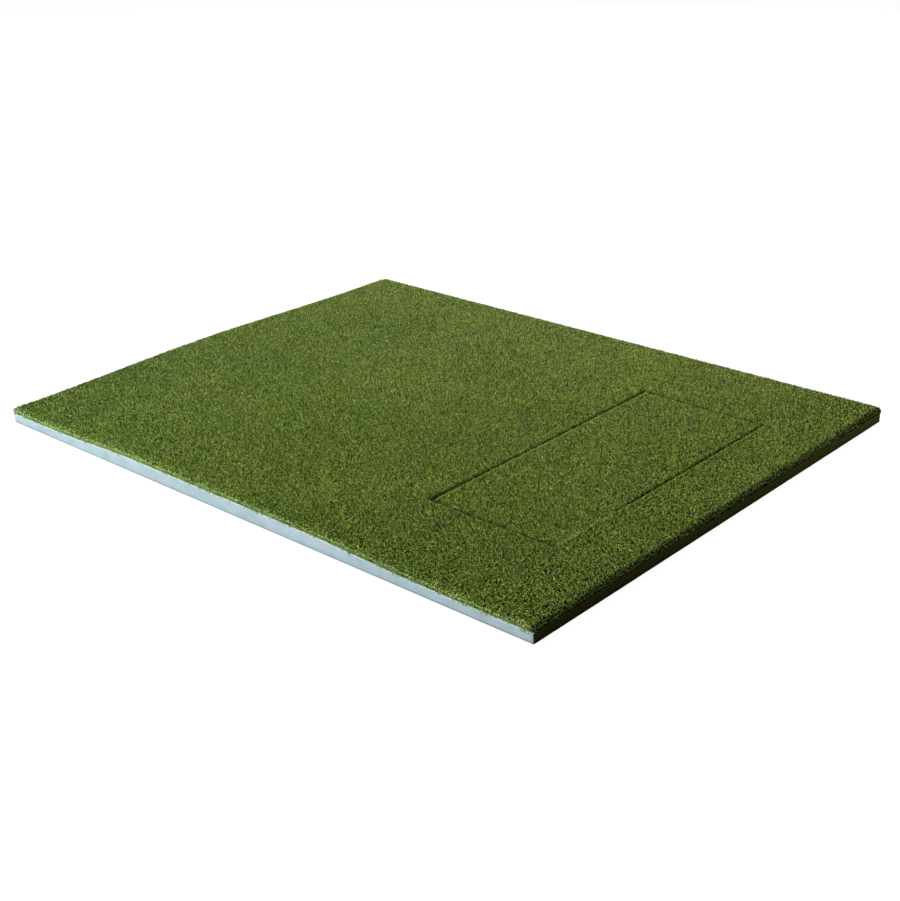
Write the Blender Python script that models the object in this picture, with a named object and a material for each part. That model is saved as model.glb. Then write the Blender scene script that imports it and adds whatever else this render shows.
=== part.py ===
"""Golf hitting mat with an exchangeable hitting strip.

Metres, +Z up. The origin is on the floor under the middle of the mat. +X runs along the long
sides, towards the end that holds the strip. +Y runs along the short sides and is the direction
of the swing. The mat is a stack of sheets with one pocket cut down to its bottom sheet, and the
strip is the same stack in the pocket's outline, held down by hook-and-loop tapes.
"""

import math

import bmesh
import bpy

# The mat in plan: 5 ft by 4 ft.
MAT_LENGTH = 1.524
MAT_WIDTH = 1.2192
CORNER_RADIUS = 0.004
CORNER_SEGMENTS = 6

# The stack, as the height of each layer's top above the floor. Neighbours keep FIT_GAP.
FIT_GAP = 0.0003
SHEET_TOP = 0.0025
FOAM_TOP = 0.0200
BACKING_TOP = 0.0222
PILE_TOP = 0.0340

# The pocket in plan: 12 in by 28.5 in, 6 in from the +X side, centred across the mat.
POCKET_WIDTH = 0.3048
POCKET_LENGTH = 0.7239
POCKET_MARGIN = 0.1524
POCKET_X = MAT_LENGTH / 2 - POCKET_MARGIN - POCKET_WIDTH / 2

# The slits round the strip. Those along the swing stand open, those across it are nearly shut.
SLIT_ALONG = 0.0015
SLIT_ACROSS = 0.0006

# The pile leans out over the base, is rounded at its shoulder and parts at the slits.
FRINGE = 0.003
SHOULDER_RADIUS = 0.006
SHOULDER_SEGMENTS = 4
PILE_CORNER_RADIUS = 0.008
PILE_RIM = 0.0015
STRIP_CORNER_RADIUS = 0.003

# Hook-and-loop tapes: a loop tape on the pocket's floor under each hook tape of the strip.
TAPE_WIDTH = 0.050
TAPE_THICKNESS = 0.0015
TAPE_INSET = 0.014
SIDE_TAPE_LENGTH = 0.660
END_TAPE_LENGTH = 0.130
TAPE_CORNER_RADIUS = 0.003
TAPE_CORNER_SEGMENTS = 3
LOOP_BOTTOM = SHEET_TOP + FIT_GAP
HOOK_BOTTOM = LOOP_BOTTOM + TAPE_THICKNESS + FIT_GAP
STRIP_BOTTOM = HOOK_BOTTOM + TAPE_THICKNESS + FIT_GAP

# How far a cutter stands clear above the layer that it cuts.
CUTTER_OVERRUN = 0.010

# Edges turned more sharply than this stay sharp in the shading.
SHARP_ANGLE = math.radians(35.0)


def clear_scene():
    """Remove every object that the file starts with."""
    for old in list(bpy.data.objects):
        bpy.data.objects.remove(old, do_unlink=True)


def make_material(name, colour, roughness):
    """A plain Principled material."""
    material = bpy.data.materials.new(name)
    material.use_nodes = True
    shader = material.node_tree.nodes["Principled BSDF"]
    shader.inputs["Base Color"].default_value = (*colour, 1.0)
    shader.inputs["Roughness"].default_value = roughness
    shader.inputs["Metallic"].default_value = 0.0
    return material


def make_empty(name, x, z):
    """An empty on the mat's middle line, which its pieces are placed from."""
    empty = bpy.data.objects.new(name, None)
    empty.location = (x, 0.0, z)
    bpy.context.scene.collection.objects.link(empty)
    return empty


def rounded_outline(size_x, size_y, radius, segments):
    """Points of a rectangle with round corners, anticlockwise from above."""
    points = []
    for corner in range(4):
        sign_x = 1 if corner in (0, 3) else -1
        sign_y = 1 if corner in (0, 1) else -1
        centre_x = sign_x * (size_x / 2 - radius)
        centre_y = sign_y * (size_y / 2 - radius)
        for step in range(segments + 1):
            angle = math.pi / 2 * (corner + step / segments)
            points.append((centre_x + radius * math.cos(angle), centre_y + radius * math.sin(angle)))
    return points


def make_object(name, shape, location, parent, material):
    """An object from a bmesh, shaded smooth round its corners and sharp at its edges."""
    mesh = bpy.data.meshes.new(name)
    shape.to_mesh(mesh)
    shape.free()
    mesh.shade_smooth()
    mesh.set_sharp_from_angle(angle=SHARP_ANGLE)
    mesh.materials.append(material)
    piece = bpy.data.objects.new(name, mesh)
    piece.location = location
    piece.parent = parent
    bpy.context.scene.collection.objects.link(piece)
    return piece


def add_prism(name, outline, height, location, parent, material, shoulder=0.0):
    """A closed upright prism on an outline, with its top rim rounded by shoulder."""
    shape = bmesh.new()
    base = shape.faces.new([shape.verts.new((x, y, 0.0)) for x, y in outline])
    raised = bmesh.ops.extrude_face_region(shape, geom=[base])
    top_points = [item for item in raised["geom"] if isinstance(item, bmesh.types.BMVert)]
    bmesh.ops.translate(shape, verts=top_points, vec=(0.0, 0.0, height))
    bmesh.ops.recalc_face_normals(shape, faces=shape.faces)
    if shoulder:
        rim = [edge for edge in shape.edges if all(vert in top_points for vert in edge.verts)]
        bmesh.ops.bevel(
            shape,
            geom=rim,
            offset=shoulder,
            segments=SHOULDER_SEGMENTS,
            affect="EDGES",
            profile=0.5,
            clamp_overlap=True,
        )
    return make_object(name, shape, location, parent, material)


def add_layer(name, size_x, size_y, bottom, top, radius, parent, material, shoulder=0.0):
    """One sheet of a stack, between two heights above the floor."""
    outline = rounded_outline(size_x, size_y, radius, CORNER_SEGMENTS)
    place = (0.0, 0.0, bottom - parent.location.z)
    return add_prism(name, outline, top - bottom, place, parent, material, shoulder)


def add_pocket_cutter(name, rim, parent, material):
    """The pocket's outline from just above the bottom sheet, with its mouth opened by rim."""
    half_x = POCKET_WIDTH / 2
    half_y = POCKET_LENGTH / 2
    rim_start = PILE_TOP - rim
    rings = [
        (SHEET_TOP + FIT_GAP / 2, 0.0),
        (rim_start, 0.0),
        (rim_start + CUTTER_OVERRUN, CUTTER_OVERRUN if rim else 0.0),
    ]
    shape = bmesh.new()
    loops = []
    for height, spread in rings:
        reach_x = half_x + spread
        reach_y = half_y + spread
        corners = [(-reach_x, -reach_y), (reach_x, -reach_y), (reach_x, reach_y), (-reach_x, reach_y)]
        loops.append([shape.verts.new((x, y, height)) for x, y in corners])
    shape.faces.new(list(reversed(loops[0])))
    shape.faces.new(loops[-1])
    for lower, upper in zip(loops, loops[1:]):
        for side in range(4):
            following = (side + 1) % 4
            shape.faces.new((lower[side], lower[following], upper[following], upper[side]))
    bmesh.ops.recalc_face_normals(shape, faces=shape.faces)
    cutter = make_object(name, shape, (POCKET_X, 0.0, 0.0), parent, material)
    cutter.hide_render = True
    cutter.display_type = "WIRE"
    return cutter


def cut(piece, cutter):
    """Cut a piece with a cutter."""
    boolean = piece.modifiers.new("Pocket", "BOOLEAN")
    boolean.operation = "DIFFERENCE"
    boolean.solver = "EXACT"
    boolean.object = cutter


def build_mat(frame, finishes):
    """The fixed stack: bottom sheet, foam, backing and pile, the last three with the pocket."""
    add_layer(
        "bottom_sheet", MAT_LENGTH, MAT_WIDTH, 0.0, SHEET_TOP, CORNER_RADIUS, frame, finishes["sheet"]
    )
    foam = add_layer(
        "base_foam", MAT_LENGTH, MAT_WIDTH, SHEET_TOP + FIT_GAP, FOAM_TOP, CORNER_RADIUS, frame,
        finishes["foam"],
    )
    backing = add_layer(
        "turf_backing", MAT_LENGTH, MAT_WIDTH, FOAM_TOP + FIT_GAP, BACKING_TOP, CORNER_RADIUS, frame,
        finishes["backing"],
    )
    pile = add_layer(
        "turf_pile", MAT_LENGTH + 2 * FRINGE, MAT_WIDTH + 2 * FRINGE, BACKING_TOP + FIT_GAP, PILE_TOP,
        PILE_CORNER_RADIUS, frame, finishes["turf"], SHOULDER_RADIUS,
    )
    straight_cutter = add_pocket_cutter("pocket_cutter", 0.0, frame, finishes["foam"])
    flared_cutter = add_pocket_cutter("pile_cutter", PILE_RIM, frame, finishes["turf"])
    cut(foam, straight_cutter)
    cut(backing, straight_cutter)
    cut(pile, flared_cutter)


def build_strip(frame, finishes):
    """The strip's stack, which fills the pocket's outline less the slits."""
    size_x = POCKET_WIDTH - 2 * SLIT_ALONG
    size_y = POCKET_LENGTH - 2 * SLIT_ACROSS
    add_layer(
        "strip_foam", size_x, size_y, STRIP_BOTTOM, FOAM_TOP, STRIP_CORNER_RADIUS, frame,
        finishes["foam"],
    )
    add_layer(
        "strip_backing", size_x, size_y, FOAM_TOP + FIT_GAP, BACKING_TOP, STRIP_CORNER_RADIUS, frame,
        finishes["backing"],
    )
    add_layer(
        "strip_pile", size_x, size_y, BACKING_TOP + FIT_GAP, PILE_TOP, STRIP_CORNER_RADIUS, frame,
        finishes["turf"], PILE_RIM,
    )


def add_tapes(prefix, bottom, centre_x, frame, material):
    """Four flat tapes in a ring under the strip: one by each side and one by each end."""
    side_x = POCKET_WIDTH / 2 - TAPE_INSET - TAPE_WIDTH / 2
    end_y = POCKET_LENGTH / 2 - TAPE_INSET - TAPE_WIDTH / 2
    layout = {
        "left": (-side_x, 0.0, TAPE_WIDTH, SIDE_TAPE_LENGTH),
        "right": (side_x, 0.0, TAPE_WIDTH, SIDE_TAPE_LENGTH),
        "near": (0.0, -end_y, END_TAPE_LENGTH, TAPE_WIDTH),
        "far": (0.0, end_y, END_TAPE_LENGTH, TAPE_WIDTH),
    }
    for side, (x, y, size_x, size_y) in layout.items():
        outline = rounded_outline(size_x, size_y, TAPE_CORNER_RADIUS, TAPE_CORNER_SEGMENTS)
        place = (centre_x + x, y, bottom - frame.location.z)
        add_prism(f"{prefix}_{side}", outline, TAPE_THICKNESS, place, frame, material)


def main():
    """Build the whole mat."""
    clear_scene()
    finishes = {
        "turf": make_material("turf", (0.090, 0.125, 0.030), 0.85),
        "backing": make_material("backing", (0.640, 0.720, 0.640), 0.80),
        "foam": make_material("foam", (0.480, 0.560, 0.600), 0.55),
        "sheet": make_material("sheet", (0.330, 0.380, 0.400), 0.60),
        "loop": make_material("loop", (0.030, 0.031, 0.033), 0.95),
        "hook": make_material("hook", (0.036, 0.037, 0.040), 0.70),
    }
    mat_frame = make_empty("mat_frame", 0.0, 0.0)
    strip_frame = make_empty("strip_frame", POCKET_X, HOOK_BOTTOM)
    build_mat(mat_frame, finishes)
    add_tapes("pocket_loop", LOOP_BOTTOM, POCKET_X, mat_frame, finishes["loop"])
    build_strip(strip_frame, finishes)
    add_tapes("strip_hook", HOOK_BOTTOM, 0.0, strip_frame, finishes["hook"])


main()
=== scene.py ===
"""Looks of the golf hitting mat: a green curled-nylon turf on a pale foam base.

The turf is made strand by strand, in tiles. Every strand grows from a root mass, painted dark as
shade, that stands on the backing. The foam is a little thicker in the middle of two of its sides.

Lengths are in metres. PATCHES names rows of smooth noise, as (strength, cell, pattern).
"""

import math

import bpy
import numpy as np
from mathutils import Matrix, Vector


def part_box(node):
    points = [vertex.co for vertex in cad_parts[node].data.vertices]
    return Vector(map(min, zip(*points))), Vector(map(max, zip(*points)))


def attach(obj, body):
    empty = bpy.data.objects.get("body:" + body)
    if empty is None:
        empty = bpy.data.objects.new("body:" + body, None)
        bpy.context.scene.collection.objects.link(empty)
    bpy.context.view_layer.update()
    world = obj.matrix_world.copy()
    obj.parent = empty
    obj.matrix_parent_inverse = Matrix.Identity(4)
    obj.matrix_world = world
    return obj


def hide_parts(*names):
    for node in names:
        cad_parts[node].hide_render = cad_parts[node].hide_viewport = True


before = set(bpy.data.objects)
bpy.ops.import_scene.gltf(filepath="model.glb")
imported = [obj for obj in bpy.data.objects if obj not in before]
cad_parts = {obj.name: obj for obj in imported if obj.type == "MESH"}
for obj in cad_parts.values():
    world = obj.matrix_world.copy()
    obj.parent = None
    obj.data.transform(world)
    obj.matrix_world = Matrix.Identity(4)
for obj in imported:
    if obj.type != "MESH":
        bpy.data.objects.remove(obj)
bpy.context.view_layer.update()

SEED = 4127

# Places and heights, read from the frame.
MAT_LOW, MAT_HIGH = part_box("base_foam")
SHEET_LOW, SHEET_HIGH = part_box("bottom_sheet")
BACKING_LOW, BACKING_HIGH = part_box("turf_backing")
PILE_LOW, PILE_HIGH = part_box("turf_pile")
STRIP_LOW, STRIP_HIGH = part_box("strip_foam")
HALF_X = MAT_HIGH.x
HALF_Y = MAT_HIGH.y
STRIP_X = (STRIP_LOW.x + STRIP_HIGH.x) / 2
STRIP_HALF_X = (STRIP_HIGH.x - STRIP_LOW.x) / 2
STRIP_HALF_Y = STRIP_HIGH.y

# The pocket is this much larger than the strip, on each side.
SLIT_X = 0.0015
SLIT_Y = 0.0006
POCKET_X = STRIP_HALF_X + SLIT_X
POCKET_Y = STRIP_HALF_Y + SLIT_Y
POCKET = (STRIP_X - POCKET_X, -POCKET_Y, STRIP_X + POCKET_X, POCKET_Y)

# The lattice of the smooth noise, and where the mat's middle lies on it.
LATTICE = 512
LATTICE_PLACE = (97.3, 61.7)

# The foam is thicker in the middle of the far end and along the middle of the -Y side. Its foot
# stays on the floor, and the layers on it follow its top.
END_SWELL = 0.0094
END_SWELL_REACH = 0.42
END_SWELL_POWER = 1.3
END_SWELL_Y = -0.04
END_SWELL_HALF = 0.53
SIDE_SWELL = 0.0090
SIDE_SWELL_START = -0.60
SIDE_SWELL_RISE = 0.28
SIDE_SWELL_END = 0.57
SIDE_SWELL_FALL = 0.42
SIDE_SWELL_REACH = 0.24

# The slow waves of the turf's top, and its small dents.
WAVE_HEIGHT = 0.0007
WAVE_CELL = 0.16
DENT_HEIGHT = 0.0007
DENT_CELL = 0.0058

# The layers: the radius of their corners with the pitch of their grids, and the shares of their
# height at which their walls have points. Each one is made TOUCH above the one below it.
TOUCH = 0.00005
MAT_GRID = (0.004, 0.008)
ROOTS_GRID = (0.007, 0.012)
STRIP_GRID = (0.003, 0.012)
STRIP_BACKING_GRID = (0.003, 0.010)
LEAST_PITCH = 0.0003
FOAM_LEVELS = (0.0, 0.03, 0.1, 0.3, 0.5, 0.7, 0.9, 0.97, 1.0)
CLOTH_LEVELS = (0.0, 0.5, 1.0)
SHEET_LEVELS = (0.0, 1.0)

# How far the layers' walls stand back from their outline or proud of it.
FOAM_BACK = 0.0004
FOAM_WAVE = 0.00035
FOAM_EASE = 0.0006
FOAM_EASE_START = 0.86
SHEET_BACK = 0.0004
SHEET_WAVE = 0.0002
BACKING_PROUD = 0.0007
BACKING_BOW = 0.0003
BACKING_PATCHES = ((0.0004, 0.02, 7), (0.0002, 0.004, 8))
BACKING_BACK = 0.0003
BACKING_EDGE = 0.01
ROOTS_BACK = 0.0008
ROOTS_LEAN = 0.0016
ROOTS_WAVE = 0.0005

# Turf. Each tuft has tall strands and short ones.
TUFT_PITCH = 0.0040
TUFT_ROW = 0.866 * TUFT_PITCH
JITTER_SPREAD = 0.28 * TUFT_PITCH
TALL_STRANDS = 2
SHORT_STRANDS = 2
ROOT_DEPTH = 0.0080
TIP_BELOW_TOP = 0.0007
ROOTS_TOP = PILE_HIGH.z - TIP_BELOW_TOP - ROOT_DEPTH + 0.0006
STRAND_HALF = 0.00076
SHORT_LOSS_RANGE = (0.0012, 0.0040)
WAIST_RANGE = (0.45, 0.65)

# The strands' colours, as shares of the palette.
SHADE_LIMITS = (0.02, 0.98)
TUFT_SHADE = 0.45
SHADE_PATCHES = ((0.05, 0.009, 2), (0.035, 0.05, 3), (0.03, 0.22, 4))
SHADE_CEILING = 0.83
WARM_PATCHES = ((0.24, 0.045, 10), (0.13, 0.16, 11))
# PLAIN_CROWN is how high up the palette tips reach; above it, up to 1 in slow patches and most at the -X end
# and the +Y side, the palette paints a bluish sheen on them.
PLAIN_CROWN = 0.82
PAINTED_SHEEN_PATCHES = ((0.20, 0.11, 21),)
# Roots inside the pile start this low up the palette, deep in its painted shade.
HIDDEN_FOOT = 0.02

# The outer edge. The pile rolls off at the +X side and the -Y side. The +X side lies in shade and
# is darkened with painted shade; the -Y side is made pale with painted light.
EDGE_ZONE = 0.005
EDGE_LOSS = 0.0020
EDGE_LOSS_POWER = 1.6
EDGE_LEAN = 0.0024
SHADY_ZONE = 0.0118
SHADY_LOSS = 0.0070
SHADY_TONE = -0.24
SHADY_DEPTH = 0.66
SHADY_POWER = 0.8
LIT_ZONE = 0.024
LIT_TONE = 0.21
LIT_DEPTH = 0.07
FRINGE_TONE = 0.05
LIT_FRINGE = 0.41

# Rows of long strands: along the rim of the mat, the mouth of the pocket and the rim of the strip.
MAT_INSET = 0.0008
STRIP_INSET = (0.0004, 0.0002)
MOUTH_INSET = (0.0008, 0.0004)
# foot is how far up the palette a row's roots start: the lower, the more painted shade at the root.
RIM = {"radius": 0.007, "outward": 1, "reach": 0.0038, "rows": 6, "pitch": 0.0012, "foot": 0.60}
MOUTH = {"radius": 0.001, "outward": -1, "reach": 0.0004, "rows": 3, "pitch": 0.0015, "foot": 0.02}
STRIP_RIM = MOUTH | {"radius": 0.002, "outward": 1}
ROW_PATCHES = ((0.25, 0.014, 13), (0.2, 0.05, 14))

# The lowest and the highest share of the pile's height that such strands stand, and what is taken
# off that at the +X side, added at the two far sides, and taken off at the -Y side.
RIM_SHARES = ((0.35, 0.10, 0.25, 0.10), (0.97, 0.42, 0.09, 0.04))

# Strands of the outer edge that hang over the backing, most and longest at the -Y side's ends.
DROOP_PITCH = 0.0012
DROOP_REACH = 0.0040
DROOP_END = 0.45
DROOP_PATCHES = ((0.30, 0.012, 18),)
DROOP_HANG = 0.0045
DROOP_BELOW = 0.0012
DROOP_CORNER = 0.50

# How far the tips of the pile hold back from the middle of each slit. The pile is shorn back
# along the long slits. WAIST and ROOT are the shares of that at a strand's middle and root.
LEFT_GAP = 0.0098
RIGHT_GAP = 0.0066
SHUT_SHARE = 0.55
RIGHT_STRIP_GAP = 0.0016
SHUT_GAP = -0.0034
END_GAP = 0.0050
END_LEAN = 0.0012
CORNER_GAP = 0.0030
CORNER_REACH = 0.025
WAIST = 0.95
ROOT = 0.80
HOLDS = (("waist", WAIST), ("shoulder", 1.0), ("tip", 1.0))
RAGGED_PATCHES = ((0.16, 0.0014, 15), (0.10, 0.012, 17))
DASH_PATCHES = ((0.45, 0.02, 16),)

# One lip of each slit rolls down into it, and the other stands up in a ridge.
ROLL_DEPTH = 0.0012
ROLL_WIDTH = 0.0040
ROLL_POWER = 1.5
END_ROLL_DEPTH = 0.0010
RIDGE_HEIGHT = 0.0013
RIDGE_WIDTH = 0.0070
RIDGE_START = 0.012

# A dense row of tall strands stands along each lip that catches the light, paler by LIP_TONE as
# painted light. The other lips are darkened with painted shade.
LIP_PITCH = 0.0009
LIP_ROWS = 4
LIP_ROW_STEP = 0.0007
LIP_START = 0.010
LIP_TONE = 0.06
# How far up the palette the lip rows' roots start: the lower, the more painted shade at the root.
LIP_FOOT = 0.3
LIP_LEAN = 0.0020
LIP_LEAN_ZONE = 0.004
SHADED_LIP_TONE = -0.30
SHADED_LIP_WIDTH = 0.0062
SHADED_END_TONE = -0.24
SHADED_END_WIDTH = 0.0028

# The slit nearer the mat's end is shut by the strip's edge below this y.
SHUT_BELOW_Y = -0.17
SHUT_FADE = 0.16
SHUT_ZONE = 0.006
SHUT_LEAN = 0.8

# The pile is split into tiles, so that no piece is too large.
TILES_X = 5
TILES_Y = 4
STRIP_TILES = 4

# Half the width of one strand's place on the palette.
PALETTE_STEP = 0.006

CAMERA_PLACE = (2.1345, -2.3084, 1.3369)
CAMERA_HEADING = 42.386
CAMERA_TILT = 24.141
CAMERA_ROLL = -1.478

# The soft lights, as name: (place, target, size, watts, colour). All the light comes from beyond
# the mat and from its left.
LIGHTS = {
    "overhead": ((-0.6, 0.35, 3.2), (0.0, 0.0, 0.0), 1.3, 108.0, (1.0, 0.97, 0.86)),
    "beyond": ((-2.0, 4.8, 2.7), (0.2, 0.1, 0.0), 1.6, 565.0, (1.0, 0.965, 0.94)),
    "left": ((-1.70, -3.95, 1.5), (-0.1, -0.6, 0.0), 1.2, 262.0, (0.81, 0.93, 1.0)),
    "far_corner": ((1.35, 1.55, 0.45), (0.76, 0.6, 0.0), 0.4, 1.5, (1.0, 0.93, 0.26)),
}

# The floor and the surround are pale to the camera, and throw little light back at the mat.
FLOOR_REACH = 30.0
FLOOR_GLOW = 0.97
FLOOR_SEEN = (0.12, 0.12, 0.12)
FLOOR_UNSEEN = (0.022, 0.020, 0.006)
WORLD_UNSEEN = (0.0086, 0.0068, 0.0011)
WHITE = (1.0, 1.0, 1.0)


# ---- numbers over the mat


def smooth_step(value):
    """0 below 0, 1 above 1, smooth between."""
    t = np.clip(value, 0.0, 1.0)
    return t * t * (3 - 2 * t)


def smooth_noise(x, y, cell, pattern):
    """Smooth random values from -1 to 1 over the plan, changing over about one cell."""
    lattice = np.random.default_rng(SEED + pattern).uniform(-1.0, 1.0, (LATTICE, LATTICE))
    u = np.asarray(x) / cell + LATTICE_PLACE[0]
    v = np.asarray(y) / cell + LATTICE_PLACE[1]
    i = np.floor(u).astype(int)
    j = np.floor(v).astype(int)
    s = smooth_step(u - i)
    t = smooth_step(v - j)
    i0, i1, j0, j1 = i % LATTICE, (i + 1) % LATTICE, j % LATTICE, (j + 1) % LATTICE
    low = lattice[i0, j0] * (1 - s) + lattice[i1, j0] * s
    high = lattice[i0, j1] * (1 - s) + lattice[i1, j1] * s
    return low * (1 - t) + high * t


def patchy(x, y, middle, patches):
    """A middle value plus rows of smooth noise."""
    for strength, cell, pattern in patches:
        middle = middle + strength * smooth_noise(x, y, cell, pattern)
    return middle


def swell(x, y):
    """How much thicker than its plain thickness the foam is: about the larger of its two swells."""
    x, y = np.asarray(x), np.asarray(y)
    from_end = smooth_step(1.0 - (x + HALF_X) / END_SWELL_REACH) ** END_SWELL_POWER
    across = np.clip(np.abs(y - END_SWELL_Y) / END_SWELL_HALF, 0.0, 1.0)
    end = END_SWELL * from_end * np.cos(across * math.pi / 2) ** 2
    from_side = smooth_step(1.0 - (y + HALF_Y) / SIDE_SWELL_REACH)
    rise = smooth_step((x - SIDE_SWELL_START) / SIDE_SWELL_RISE)
    fall = smooth_step((SIDE_SWELL_END - x) / SIDE_SWELL_FALL)
    side = SIDE_SWELL * from_side * rise * fall
    return (end**4 + side**4) ** 0.25


def no_lift(x, y):
    """No lift: of the strip, and of what lies on the floor."""
    return np.zeros(np.shape(x))


def directions(angle):
    """Unit vectors in plan."""
    return np.stack([np.cos(angle), np.sin(angle)], 1)


def any_way(rng, count):
    """Unit vectors in plan that point any way."""
    return directions(rng.uniform(0.0, math.tau, count))


def leftward(way):
    """Unit vectors in plan, turned a quarter to the left."""
    return np.stack([-way[:, 1], way[:, 0]], 1)


def unit(vectors):
    """Vectors at length 1."""
    return vectors / np.linalg.norm(vectors, axis=1, keepdims=True)


# ---- meshes


def new_piece(name, points, faces, material, body):
    """A smooth-shaded mesh piece from arrays of points and quads, riding on a body."""
    mesh = bpy.data.meshes.new(name)
    points = np.asarray(points, np.float32)
    faces = np.asarray(faces, np.int32)
    mesh.vertices.add(len(points))
    mesh.vertices.foreach_set("co", points.ravel())
    mesh.loops.add(faces.size)
    mesh.loops.foreach_set("vertex_index", faces.ravel())
    mesh.polygons.add(len(faces))
    mesh.polygons.foreach_set("loop_start", np.arange(0, faces.size, 4, dtype=np.int32))
    mesh.update(calc_edges=True)
    mesh.shade_smooth()
    mesh.materials.append(material)
    piece = bpy.data.objects.new(name, mesh)
    bpy.context.scene.collection.objects.link(piece)
    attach(piece, body)
    return piece


def grid_lines(low, high, pitch, edge_steps, kept=()):
    """Even lines from low to high, with extra lines close to both ends and at kept places."""
    count = max(2, int(round((high - low) / pitch)))
    lines = list(np.linspace(low, high, count + 1))
    for step in edge_steps:
        lines += [low + step, high - step]
        for place in kept:
            lines += [place - step, place, place + step]
    lines = np.unique(np.round(lines, 6))
    fixed = {round(v, 6) for v in (low, high, *kept)}
    spaced = [lines[0]]
    for value in lines[1:]:
        if value - spaced[-1] >= LEAST_PITCH:
            spaced.append(value)
        elif round(float(value), 6) in fixed:
            spaced[-1] = value
    return np.array(spaced)


def round_corners(flat, centre, half, radius):
    """Pull the corners of a rectangle's points in to a round of that radius."""
    over = np.abs(flat - centre) - (half - radius)
    inside = (over > 0).all(axis=1, keepdims=True)
    length = np.where(inside, np.hypot(*over.T)[:, None], 1.0)
    scale = over.max(axis=1, keepdims=True) / length
    return np.where(inside, centre + np.sign(flat - centre) * (half - radius + over * scale), flat)


def plate(xs, ys, centre, half, radius, heights, lifts, levels, wall, hole):
    """Points and quads of a closed plate, between two heights that are lifted at each place.

    levels are the shares of the height at which the walls have a ring of points, and wall gives
    how far out a wall point stands, from its place and its level. hole is a rectangle (x0, y0,
    x1, y1) on grid lines that is left open.
    """
    nx, ny = len(xs), len(ys)
    kept = np.ones((nx - 1, ny - 1), bool)
    if hole:
        in_x, in_y = (
            (lines[:-1] > start - LEAST_PITCH / 2) & (lines[1:] < end + LEAST_PITCH / 2)
            for lines, start, end in ((xs, hole[0], hole[2]), (ys, hole[1], hole[3]))
        )
        kept &= ~(in_x[:, None] & in_y[None, :])
    flat = np.stack([values.ravel() for values in np.meshgrid(xs, ys, indexing="ij")], 1)
    flat = round_corners(flat, centre, half, radius)
    index = np.arange(nx * ny).reshape(nx, ny)
    corners = (index[:-1, :-1], index[1:, :-1], index[1:, 1:], index[:-1, 1:])
    top = np.stack([corner[kept] for corner in corners], 1)
    edges = np.concatenate([top[:, [side, (side + 1) % 4]] for side in range(4)])
    forward = edges[:, 0].astype(np.int64) * nx * ny + edges[:, 1]
    backward = edges[:, 1].astype(np.int64) * nx * ny + edges[:, 0]
    border = edges[~np.isin(forward, backward)]
    first, second = border.T
    out = np.zeros_like(flat)
    normal = -leftward(unit(flat[second] - flat[first]))
    np.add.at(out, first, normal)
    np.add.at(out, second, normal)
    rim = np.unique(border)
    out[rim] /= np.maximum(np.linalg.norm(out[rim], axis=1, keepdims=True), 1e-9)
    rings = []
    for level in levels:
        moved = np.zeros((nx * ny, 1))
        moved[rim, 0] = wall(*flat[rim].T, level)
        x, y = (flat + out * moved).T
        low, high = (height + lift(x, y) for height, lift in zip(heights, lifts))
        rings.append(np.stack([x, y, low * (1 - level) + high * level], 1))
    used = np.unique(top)
    place = np.full(nx * ny, -1)
    place[used] = np.arange(len(used))
    rim_place = np.full(nx * ny, -1)
    rim_place[rim] = np.arange(len(rim))
    count = len(used)
    points = [rings[0][used], rings[-1][used]]
    ring_index = [place]
    for number, ring in enumerate(rings[1:-1]):
        points.append(ring[rim])
        ring_index.append(np.where(rim_place >= 0, rim_place + 2 * count + number * len(rim), -1))
    ring_index.append(place + count)
    quads = [place[top][:, ::-1], place[top] + count]
    for lower, upper in zip(ring_index, ring_index[1:]):
        quads.append(np.stack([lower[first], lower[second], upper[second], upper[first]], 1))
    return np.concatenate(points), np.concatenate(quads)


# ---- strands


def strand_set(rng, root, waist, shoulder, width, shade, warmth, foot):
    """Crimped ribbons, each from its root, over its waist and shoulder, to its curled tip.

    shade and warmth pick the colour, from 0 to 1. foot and crown are how far up the palette the
    root and the tip are. The palette paints shade towards the root, so a strand on the outside of the
    pile has a higher foot and isn't dark at its root; its top end paints a bluish sheen on the tips.
    """
    count = len(shade)
    heading = any_way(rng, count)
    tip = shoulder.copy()
    tip[:, :2] += heading * rng.uniform(0.0007, 0.0021, (count, 1))
    tip[:, 2] += rng.uniform(-0.0010, 0.0004, count)
    low_side = np.column_stack([any_way(rng, count), rng.normal(0.0, 0.25, count)])
    top_side = np.column_stack([leftward(heading), rng.normal(0.0, 0.55, count)])
    top_side *= np.sign((low_side * top_side).sum(axis=1, keepdims=True))
    return {
        "root": root, "waist": waist, "shoulder": shoulder, "tip": tip,
        "low_side": unit(low_side) * width[:, None], "top_side": unit(top_side) * width[:, None],
        "shade": np.clip(shade, *SHADE_LIMITS), "warmth": warmth, "foot": foot + np.zeros(count),
        "crown": painted_sheen_crown(rng, root[:, 0], root[:, 1]),
    }


def joined(sets):
    """Several strand sets as one."""
    return {key: np.concatenate([one[key] for one in sets]) for key in sets[0]}


def chosen(strands, mask):
    """The strands that a mask picks."""
    return {key: values[mask] for key, values in strands.items()}


def paint_light_and_shade(strands, share, tone, depth):
    """Strands with painted light and shade: a share of a tone added to their shade, and of a depth taken off
    their crown.
    """
    strands["shade"] = np.clip(strands["shade"] + tone * share, *SHADE_LIMITS)
    strands["crown"] = strands["crown"] * (1.0 - depth * share)
    return strands


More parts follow.
